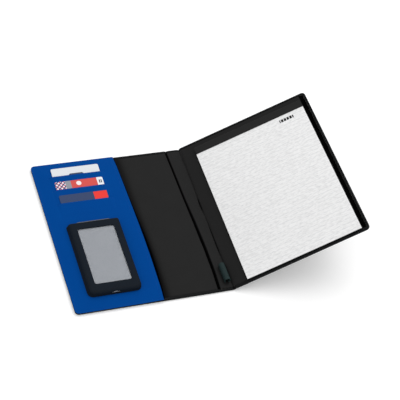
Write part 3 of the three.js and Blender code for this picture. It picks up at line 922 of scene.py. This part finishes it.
def surface_path(corners, height):
    """A path over flat corners, its points about 2 mm apart and just above a surface."""
    path = []
    for (x0, y0), (x1, y1) in zip(corners, corners[1:]):
        count = max(1, round(math.hypot(x1 - x0, y1 - y0) / 2))
        for t in np.linspace(0, 1, count + 1)[:-1]:
            path.append((x0 + (x1 - x0) * t, y0 + (y1 - y0) * t))
    path.append(corners[-1])
    return [(x, y, float(height(np.array(x), np.array(y))) + 0.02) for x, y in path]


# Materials

# The near-black painted on the lining where shade falls: painted shade
SHADE_PAINT_COLOUR = "#040404"
SOFT_EDGE = 0.15


class Finish:
    """A material in the making: its node tree, its shader and ways to add to them."""

    def __init__(self, name, on_sheet=False, **sockets):
        self.material = bpy.data.materials.new(name)
        self.material.use_nodes = True
        self.tree = self.material.node_tree
        self.shader = self.tree.nodes["Principled BSDF"]
        self.on_sheet = on_sheet
        self.set(**sockets)

    def set(self, **sockets):
        """Gives the shader values or outputs of nodes. An underscore stands for a space."""
        for name, value in sockets.items():
            give(self.tree, self.shader.inputs[name.replace("_", " ")], value)

    def node(self, kind, output, links=None, **settings):
        """Adds a node and returns one of its outputs."""
        return output_of(self.tree, "ShaderNode" + kind, output, links, **settings)

    def vector(self, operation, links, output="Vector"):
        """A calculation with vectors."""
        return self.node("VectorMath", output, links, operation=operation)

    @cached_property
    def place(self):
        """The place in millimetres: on the object, or on the flat sheet before it was raised."""
        if self.on_sheet:
            spot = self.node("Attribute", "Vector", attribute_name="flat")
        else:
            spot = self.node("TexCoord", "Object")
        return self.vector("SCALE", {0: spot, "Scale": 1 / MM})

    def axis(self, name):
        """The place's X or Y."""
        return self.node("SeparateXYZ", name, {"Vector": self.place})

    def calc(self, operation, *values):
        """A calculation with one value or with two."""
        return self.node("Math", 0, dict(enumerate(values)), operation=operation)

    def times(self, first, second):
        """The product of two values."""
        return self.calc("MULTIPLY", first, second)

    def ramp(self, value, low, high, at_low=0.0, at_high=1.0):
        """Goes from one value to another as the input goes from low to high."""
        links = {"Value": value, "From Min": low, "From Max": high, "To Min": at_low, "To Max": at_high}
        return self.node("MapRange", "Result", links)

    def cloud(self, size, detail=3.0, place=None):
        """Soft noise from 0 to 1, its patches about size mm wide."""
        links = {"Vector": place or self.place, "Scale": 1 / size, "Detail": detail}
        return self.node("TexNoise", "Fac", links)

    def mix(self, factor, first, second):
        """Goes from one colour, in hex or from a node, to another as the factor goes from 0 to 1."""
        first, second = (colour(c) if isinstance(c, str) else c for c in (first, second))
        return self.node("Mix", 2, {0: factor, 6: first, 7: second}, data_type="RGBA")

    def bump(self, height, depth):
        """Embosses the surface by a height from 0 to 1 that stands for depth mm."""
        links = {"Height": height, "Distance": depth * MM, "Strength": 1.0}
        self.set(Normal=self.node("Bump", "Normal", links))

    def away(self, value, middle):
        """How far a value is from a middle."""
        return self.calc("ABSOLUTE", self.calc("SUBTRACT", value, middle))

    def beats(self, value, pitch):
        """How far a value is from the nearest whole multiple of the pitch."""
        return self.calc("PINGPONG", value, pitch / 2)

    def band(self, value, low, high):
        """1 where the value lies between low and high, and 0 outside, over a soft edge."""
        half = (high - low) / 2
        return self.ramp(self.away(value, (low + high) / 2), half - SOFT_EDGE, half + SOFT_EDGE, 1.0, 0.0)

    def box(self, x_range, y_range):
        """1 in an upright rectangle of the place, and 0 outside."""
        return self.times(self.band(self.axis("X"), *x_range), self.band(self.axis("Y"), *y_range))

    def dashes(self, x_range, y_range, pitch, filled):
        """A row of dark strokes in a rectangle, pitch mm apart, filled from 0 to 1."""
        edge = pitch / 2 * filled
        strokes = self.ramp(self.beats(self.axis("X"), pitch), edge - 0.1, edge + 0.1, 1.0, 0.0)
        return self.times(strokes, self.box(x_range, y_range))


def leathercloth(name, base, pebble_top_tone, cell, depth, roughness, specular):
    """Embossed polyurethane leathercloth: round pebbles cell mm wide, pressed depth mm deep.

    The embossing catches the light as fine soft specks, and the colour is even, a little paler
    where the pebbles stand up. Where the sheet is marked with shade to paint, it is painted near-black
    and without sheen: painted shade.
    """
    made = Finish(name)
    # How much painted shade the sheet gets, as stored on its points
    painted_shade = made.node("Attribute", "Fac", attribute_name="painted_shade")
    links = {"Vector": made.place, "Scale": 1 / cell, "Randomness": 0.9}
    pebbles = made.node("TexVoronoi", "Distance", links, feature="DISTANCE_TO_EDGE")
    raised = made.ramp(pebbles, 0.0, 0.25)
    patches = made.cloud(35)
    cloth = made.mix(made.times(raised, patches), base, pebble_top_tone)
    made.set(
        Base_Color=made.mix(painted_shade, cloth, SHADE_PAINT_COLOUR),
        Roughness=made.ramp(patches, 0, 1, roughness - 0.06, roughness + 0.06),
        Specular_IOR_Level=made.ramp(painted_shade, 0, 1, specular, 0.0),
    )
    made.bump(raised, depth)
    return made.material


def fibre_board(name, base, fleck, grain):
    """Pressed recycled-paper board: matt, with fibres and flecks of other shades, grain mm long."""
    made = Finish(name, Roughness=0.92, Specular_IOR_Level=0.2)
    fibres = made.cloud(grain, 6.0)
    flecks = made.ramp(made.cloud(grain / 3, 2.0), 0.6, 0.75)
    mottled = made.mix(made.ramp(fibres, 0.35, 0.7, 0, 0.35), base, fleck)
    made.set(Base_Color=made.mix(made.times(flecks, 0.4), mottled, fleck))
    made.bump(fibres, 0.06)
    return made.material


def woven(name, base, light, across, along, depth, roughness):
    """A weave of threads across and along mm apart: rows of small humps, darker between them."""
    made = Finish(name, on_sheet=True, Roughness=roughness, Specular_IOR_Level=0.25)
    humps = [
        made.ramp(made.beats(made.axis(axis), pitch), 0, pitch / 2)
        for axis, pitch in (("X", across), ("Y", along))
    ]
    weave = made.times(*humps)
    shade = made.times(made.ramp(weave, 0, 0.6), made.cloud(0.4))
    made.set(Base_Color=made.mix(shade, base, light))
    made.bump(weave, depth)
    return made.material


def twisted_thread(name, base, light):
    """Twisted polyester thread: fine slanting plies, nearly matt."""
    made = Finish(name, Roughness=0.6, Specular_IOR_Level=0.15)
    links = {"Vector": made.place, "Scale": 0.9, "Distortion": 1.0}
    plies = made.node("TexWave", "Fac", links, bands_direction="DIAGONAL")
    made.set(Base_Color=made.mix(plies, base, light))
    made.bump(plies, 0.05)
    return made.material


def printed(name, base, roughness, marks=None, on_sheet=False, texture=0.02, specular=0.2):
    """A printed plastic or paper surface. marks makes its (mask, colour) pairs."""
    made = Finish(name, on_sheet, Specular_IOR_Level=specular)
    tone = made.cloud(30)
    shown = made.mix(made.times(tone, 0.06), base, "#808080")
    for mask, ink in marks(made) if marks else ():
        shown = made.mix(mask, shown, ink)
    made.set(Base_Color=shown, Roughness=made.ramp(tone, 0, 1, roughness - 0.05, roughness + 0.05))
    made.bump(made.cloud(0.5), texture)
    return made.material


def white_card_marks(made):
    """A dark tab with slanting ends at the foot of what shows."""
    foot = SLOTS[0]
    y = made.axis("Y")
    from_middle = made.away(made.axis("X"), PANEL_MIDDLE)
    slanted = made.calc("ADD", from_middle, made.calc("SUBTRACT", y, foot))
    return [(made.times(made.band(slanted, -14, 14.5), made.band(y, foot - 9, foot + 3.6)), "#2f3a52")]


def coral_card_marks(made):
    """A chequered left end, a grey band, a white spot and a white right end with dark strokes."""
    foot, left, right = SLOTS[1], PANEL_MIDDLE - CARD_HALF, PANEL_MIDDLE + CARD_HALF
    ends = (foot - 10, foot + 30)
    left_end = made.box((left, left + 18), ends)
    chequers = []
    for operation in ("ADD", "SUBTRACT"):
        slanted = made.calc(operation, made.axis("X"), made.axis("Y"))
        chequers.append(made.times(made.ramp(made.beats(slanted, 7.6), 2.1, 2.5), left_end))
    spot_at = (PANEL_MIDDLE - 1.0, foot + 10, CARD_BOXES[1][1][2] - 0.6)
    away = made.vector("DISTANCE", {0: made.place, 1: spot_at}, "Value")
    return [
        (left_end, "#efe6ee"),
        (chequers[0], "#b8294a"),
        (chequers[1], "#39466f"),
        (made.box((left + 18, left + 28), ends), "#8c8f98"),
        (made.ramp(away, 4.2, 4.8, 1.0, 0.0), "#efe6e6"),
        (made.box((right - 11, right), ends), "#e8eaee"),
        (made.dashes((right - 8.6, right - 2.4), (foot + 5, foot + 12), 3.1, 0.62), "#1d2430"),
    ]


def slate_card_marks(made):
    """A red end."""
    foot, right = SLOTS[2], PANEL_MIDDLE + CARD_HALF
    return [(made.box((right - 24.6, right - 0.8), (foot - 10, foot + 16.4)), "#e62a20")]


def ruled_lines(made):
    """Faint ruled lines 7.5 mm apart and a row of plain dark blocks near the head's outer corner."""
    rules = made.ramp(made.beats(made.axis("Y"), 7.5), 0.25, 0.6, 1.0, 0.0)
    fading = made.ramp(made.cloud(4.0, 1.0), 0.35, 0.6, 0.1, 0.5)
    stretched = made.vector("MULTIPLY", {0: made.place, 1: (0.35, 1.0, 1.0)})
    return [
        (made.ramp(made.cloud(2.0, 2.0, stretched), 0.4, 0.7, 0.0, 0.8), "#d7d7d7"),
        (made.times(rules, fading), "#bbbfc4"),
        (made.dashes((200, 227), (113, 119), 5.4, 0.78), "#1a1a1c"),
    ]


def brushed_metal(name, base, light, cap, cap_from):
    """Anodised aluminium: a soft satin sheen with very fine lines along its length. From cap_from
    on towards the head it has a darker end cap."""
    made = Finish(name, Metallic=0.4, Roughness=0.38)
    grain = made.cloud(1.0, place=made.vector("MULTIPLY", {0: made.place, 1: (4.0, 0.05, 4.0)}))
    at_cap = made.ramp(made.axis("Y"), cap_from - 0.2, cap_from + 0.2)
    made.set(Base_Color=made.mix(at_cap, made.mix(grain, base, light), cap))
    made.bump(grain, 0.01)
    return made.material


def clear_film(name):
    """Clear soft vinyl film: nearly invisible, a little wavy, with a faint haze in patches."""
    made = Finish(name, Roughness=0.2, Specular_IOR_Level=0.3, Base_Color=colour("#c9ced4"))
    haze = made.cloud(18)
    made.set(Alpha=made.ramp(haze, 0.2, 0.8, 0.06, 0.14))
    made.bump(haze, 0.6)
    return made.material


def make_materials():
    """Every finish of the folder and of what it holds, by a short name."""
    return {
        # Black polyurethane leathercloth of the cover, with a fine pebble: even, with a soft sheen
        "skin": leathercloth("black embossed leathercloth", "#090a0b", "#141617", 1.1, 0.07, 0.64, 0.11),
        # The lining is thinner leathercloth with a flatter grain: black and nearly matt, with painted shade
        # in its groove, its deep crease, beside the mouth and beside the pad
        "lining": leathercloth("black smooth lining cloth", "#111111", "#191919", 0.8, 0.02, 0.68, 0.17),
        # Royal blue leathercloth of the document pocket: a deep even blue with hardly any sheen
        "blue": leathercloth("royal blue leathercloth", "#00408a", "#004994", 0.8, 0.02, 0.7, 0.02),
        # Near-black cloth under the document pocket's mouth, showing beside it as painted shadow
        "shadow_cloth": leathercloth("black painted shadow cloth", "#020203", "#050506", 0.8, 0.02, 0.9, 0.0),
        # Smooth black leathercloth of the phone pocket, with a blue cast and hardly any sheen
        "pocket": leathercloth("smooth black leathercloth", "#12181f", "#1d2530", 0.6, 0.012, 0.66, 0.05),
        # Grey bookbinder's board: matt, with paler and darker fibres
        "board": fibre_board("grey bookbinder's board", "#857f73", "#a39c8d", 2.5),
        # The pad's backing card: thinner and paler board
        "backing": fibre_board("pad backing card", "#a39b8b", "#bdb5a4", 1.5),
        # Woven polyester elastic of the pen loop: ribs along it. It is black; its dark green tint and
        # teal rib tops are a painted sheen
        "elastic": woven("woven elastic", "#122021", "#24403f", 1.0, 0.8, 0.12, 0.75),
        # Black cloth tape of the pad: a fine even weave, nearly matt
        "tape": woven("black cloth binding tape", "#0e0e0e", "#191919", 0.5, 0.5, 0.03, 0.68),
        # Wood-free writing paper: white and matt, with a soft fibre texture and printed rules
        "paper": printed("ruled writing paper", "#eeeeee", 0.9, ruled_lines, True, 0.03, 0.1),
        "pages": printed("writing paper edges", "#cfd0d2", 0.9, texture=0.05, specular=0.1),
        # Printed PVC cards: smooth, with a satin gloss
        "card_1": printed("white card", "#dbdee2", 0.4, white_card_marks),
        "card_2": printed("coral card", "#cf4640", 0.4, coral_card_marks),
        "card_3": printed("slate card", "#1c345f", 0.4, slate_card_marks),
        # Switched-off phone display under glass, seen as an even grey
        "display": printed("grey display glass", "#7d8188", 0.22, texture=0.0, specular=0.4),
        # Satin aluminium of the phone's body, with a darker cap at its head
        "metal": brushed_metal("satin aluminium", "#a9adb1", "#c3c6ca", "#55585d", PHONE_HIGH[1] - 6),
        # Clear film of the phone pocket's window
        "film": clear_film("clear window film"),
        # Black and blue sewing thread
        "black_thread": twisted_thread("black sewing thread", "#0c0c0d", "#191a1b"),
        "blue_thread": twisted_thread("blue sewing thread", "#023a86", "#0b4ca0"),
    }


def set_material(obj, material):
    """Gives an object one material."""
    obj.data.materials.clear()
    obj.data.materials.append(material)
    return obj


# Camera and studio

AZIMUTH = 29.672
ELEVATION = 48.509
ROLL = 15.364
DISTANCE = 2348.8
AIM = (16.2, 40.43, 0.0)
LENS = 119.83
SENSOR = 36

FLOOR_HALF = 8000
FLOOR_DROP = 0.2
FLOOR_SHADE = 0.9
FLOOR_GLOW = 0.2
SKY_LEVEL = 0.8
SOFTBOX_PLACE = (0.9, 0.9, 2.4)
SOFTBOX_SIZE = 2.2
SOFTBOX_WATTS = 30


def build_camera():
    """The photo's camera: its direction, its slight roll and its long lens."""
    azimuth, elevation, roll = (math.radians(a) for a in (AZIMUTH, ELEVATION, ROLL))
    flat = math.cos(elevation)
    forward = Vector((math.sin(azimuth) * flat, math.cos(azimuth) * flat, -math.sin(elevation)))
    level = forward.cross(Vector((0, 0, 1))).normalized()
    upright = level.cross(forward)
    right = level * math.cos(roll) + upright * math.sin(roll)
    up = upright * math.cos(roll) - level * math.sin(roll)
    lens = bpy.data.cameras.new("camera")
    lens.sensor_width = SENSOR
    lens.lens = LENS
    camera = add_object("camera", lens)
    turn = Matrix((right, up, -forward)).transposed()
    camera.matrix_world = Matrix.Translation((Vector(AIM) - forward * DISTANCE) * MM) @ turn.to_4x4()
    bpy.context.scene.camera = camera


def build_studio():
    """A white floor that the camera sees a little brighter, an even sky and one large softbox."""
    a = FLOOR_HALF
    floor = new_object("floor", [(-a, -a, 0), (a, -a, 0), (a, a, 0), (-a, a, 0)], [(0, 1, 2, 3)])
    floor.location.z = -FLOOR_DROP * MM
    # Matt white paper sweep. Only the camera's own rays see its glow, so it lights nothing
    white = (FLOOR_SHADE, FLOOR_SHADE, FLOOR_SHADE, 1)
    made = Finish("white floor", Roughness=0.9, Specular_IOR_Level=0, Base_Color=white)
    seen = made.node("LightPath", "Is Camera Ray")
    glow = made.node("Emission", 0, {"Strength": made.times(seen, FLOOR_GLOW)})
    total = made.node("AddShader", 0, {0: made.shader.outputs[0], 1: glow})
    give(made.tree, made.tree.nodes["Material Output"].inputs["Surface"], total)
    set_material(floor, made.material)

    world = bpy.data.worlds.new("studio")
    bpy.context.scene.world = world
    world.use_nodes = True
    background = world.node_tree.nodes["Background"]
    background.inputs["Color"].default_value = (1, 1, 1, 1)
    background.inputs["Strength"].default_value = SKY_LEVEL

    lamp = bpy.data.lights.new("softbox", "AREA")
    lamp.shape = "SQUARE"
    lamp.size = SOFTBOX_SIZE
    lamp.energy = SOFTBOX_WATTS
    key = add_object("softbox", lamp)
    key.location = SOFTBOX_PLACE
    key.rotation_euler = (-key.location).to_track_quat("-Z", "Y").to_euler()


# The folder

materials = make_materials()


def part(obj, finish, slot, body=None, stands_for=()):
    """Gives a piece its finish and the body it moves with, and hides the solids it stands for. slot is not used.
    """
    set_material(obj, materials[finish])
    if body is not None:
        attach(obj, body)
    if stands_for:
        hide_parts(*stands_for)
    return obj


def at_left_fold(obj):
    """Bakes the transform of a piece at the left fold into its mesh."""
    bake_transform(obj)


def at_right_fold(obj):
    """Bakes the transform of a piece at the right fold into its mesh. The raised end of the
    right bend that it works out is not used.
    """
    end = turn_about_right_fold(np.array([[RIGHT_BEND[1], 0, RIGHT_HINGE[2]]]), OPENING)[0] * MM
    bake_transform(obj)


left_skin = outer_skin("left_skin", -1, LEFT_LOW[0])
part(left_skin, "skin", "skin", None, ["left_cover_skin", "left_fold_skin", "spine_skin"])
at_left_fold(left_skin)
right_skin = raise_cover(outer_skin("right_skin", 1, RIGHT_HIGH[0]))
part(right_skin, "skin", "skin", None, ["right_cover_skin", "right_fold_skin"])
at_right_fold(right_skin)

spine_edges = (inner_board_edge(GROOVE, LEFT_BEND[1], 1), inner_board_edge(CREASE, RIGHT_BEND[0], -1))
BOARDS = [
    ("left", outer_board_edge(-1), inner_board_edge(GROOVE, LEFT_BEND[0], -1), "left_cover"),
    ("spine", *spine_edges, "spine"),
    ("right", inner_board_edge(CREASE, RIGHT_BEND[1], 1), outer_board_edge(1), "right_cover"),
]
for name, low_edge, high_edge, body in BOARDS:
    sheet = board(f"{name}_board_sheet", low_edge, high_edge)
    if name == "right":
        raise_cover(sheet)
    part(sheet, "board", "board", body, [f"{name}_board"])

left_lining = lining("left_inner_lining", -1)
part(left_lining, "lining", "lining", None, ["left_lining", "left_fold_lining", "spine_lining"])
at_left_fold(left_lining)
pad_slot_low = np.array([SHEETS_LOW[0] - PAD_SLOT_PLAY, SHEETS_HIGH[1] - PAD_SLOT_DEPTH])
pad_slot_high = SHEETS_HIGH[:2] + (-PAGE_MARGIN, PAD_SLOT_PLAY)
right_lining = raise_cover(lining("right_inner_lining", 1, hole=(pad_slot_low, pad_slot_high)))
part(right_lining, "lining", "lining", None, ["right_lining", "right_fold_lining"])
at_right_fold(right_lining)

panel = part(blue_panel(), "blue", "blue_panel", "left_cover", ["document_pocket"])
# A near-black strip along the panel's mouth: painted shadow
painted_mouth_shadow = part(mouth_shadow_strip(), "shadow_cloth", "lining", "left_cover")
pocket = part(phone_pocket(), "pocket", "phone_pocket", "left_cover", ["phone_pocket"])
part(phone(), "metal", "phone_body", "left_cover", ["phone_body"])
loop = part(keep_flat_places(pen_loop()), "elastic", "elastic", "spine", ["pen_loop"])
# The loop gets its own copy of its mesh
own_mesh(loop)
part(raise_cover(page_block()), "pages", "paper", "right_cover", ["pad_sheets"])
page = raise_cover(keep_flat_places(top_page()))
part(page, "paper", "paper", "right_cover", ["pad_sheets"])
tape = raise_cover(keep_flat_places(binding_tape()))
part(tape, "tape", "tape", "right_cover", ["pad_tape"])

node_finishes = {
    "card_backing": "lining",
    "card_1": "card_1",
    "card_2": "card_2",
    "card_3": "card_3",
    "phone_window_film": "film",
    "phone_display": "display",
    "pad_backing": "backing",
}
for node, finish in node_finishes.items():
    set_material(frame["nodes"][node], materials[finish])


# Seams, as paths on the flat folder


def flap_seam(side):
    """The seam along a cover's flap, from the fold round the three turned edges."""
    edge = (LEFT_LOW[0] if side < 0 else RIGHT_HIGH[0]) - side * (FLAP - FLAP_SEAM)
    level = LEFT_HIGH[2] if side < 0 else RIGHT_HIGH[2]
    near = side * FLAP_SEAM_START
    end = LEFT_HIGH[1] - FLAP + FLAP_SEAM
    turn = CORNER - FLAP + FLAP_SEAM
    corners = [(near, -end), (edge - side * turn, -end), (edge, turn - end)]
    corners += [(x, -y) for x, y in corners[::-1]]
    return np.array(surface_path(corners, lambda x, y: level - 0.03))


seam_left, seam_low = PANEL_LOW[:2] + SEAM_INSET
seam_right = PANEL_HIGH[0] - 1
hem = PANEL_HIGH[0] - MOUTH_HEM
sewn_sides = [(seam_right, seam_low), (seam_left, seam_low), (seam_left, -seam_low), (seam_right, -seam_low)]
mouth_hem = [(hem, seam_low), (hem, -seam_low)]
panel_paths = [mouth_bow(np.array(surface_path(path, panel_height))) for path in (sewn_sides, mouth_hem)]
slot_half = CARD_HALF + SLOT_ROOM
for slot in SLOTS:
    ends = [(PANEL_MIDDLE - slot_half, slot - 2), (PANEL_MIDDLE + slot_half, slot - 2)]
    panel_paths.append(surface_path(ends, panel_height))

pocket_ring = rounded_ring(POCKET_LOW[:2] + POCKET_SEAM, POCKET_HIGH[:2] - POCKET_SEAM, POCKET_SEAM_CORNERS)
pocket_seam = [(*place, POCKET_HIGH[2] + 0.02) for place, out in pocket_ring]
left_paths = [flap_seam(-1), pocket_seam + pocket_seam[:1]]
right_paths = [turn_about_right_fold(flap_seam(1), OPENING)]

tree = stitch_tree()
SEAMS = [
    ("panel_stitches", panel_paths, "blue_thread", "blue_panel", "left_cover"),
    ("left_cover_stitches", left_paths, "black_thread", "skin", "left_cover"),
    ("right_cover_stitches", right_paths, "black_thread", "skin", "right_cover"),
]
for name, paths, thread, slot, body in SEAMS:
    part(stitches(name, tree, paths, materials[thread]), thread, slot, body)

build_camera()
build_studio()
bpy.context.scene.view_settings.view_transform = "Standard"
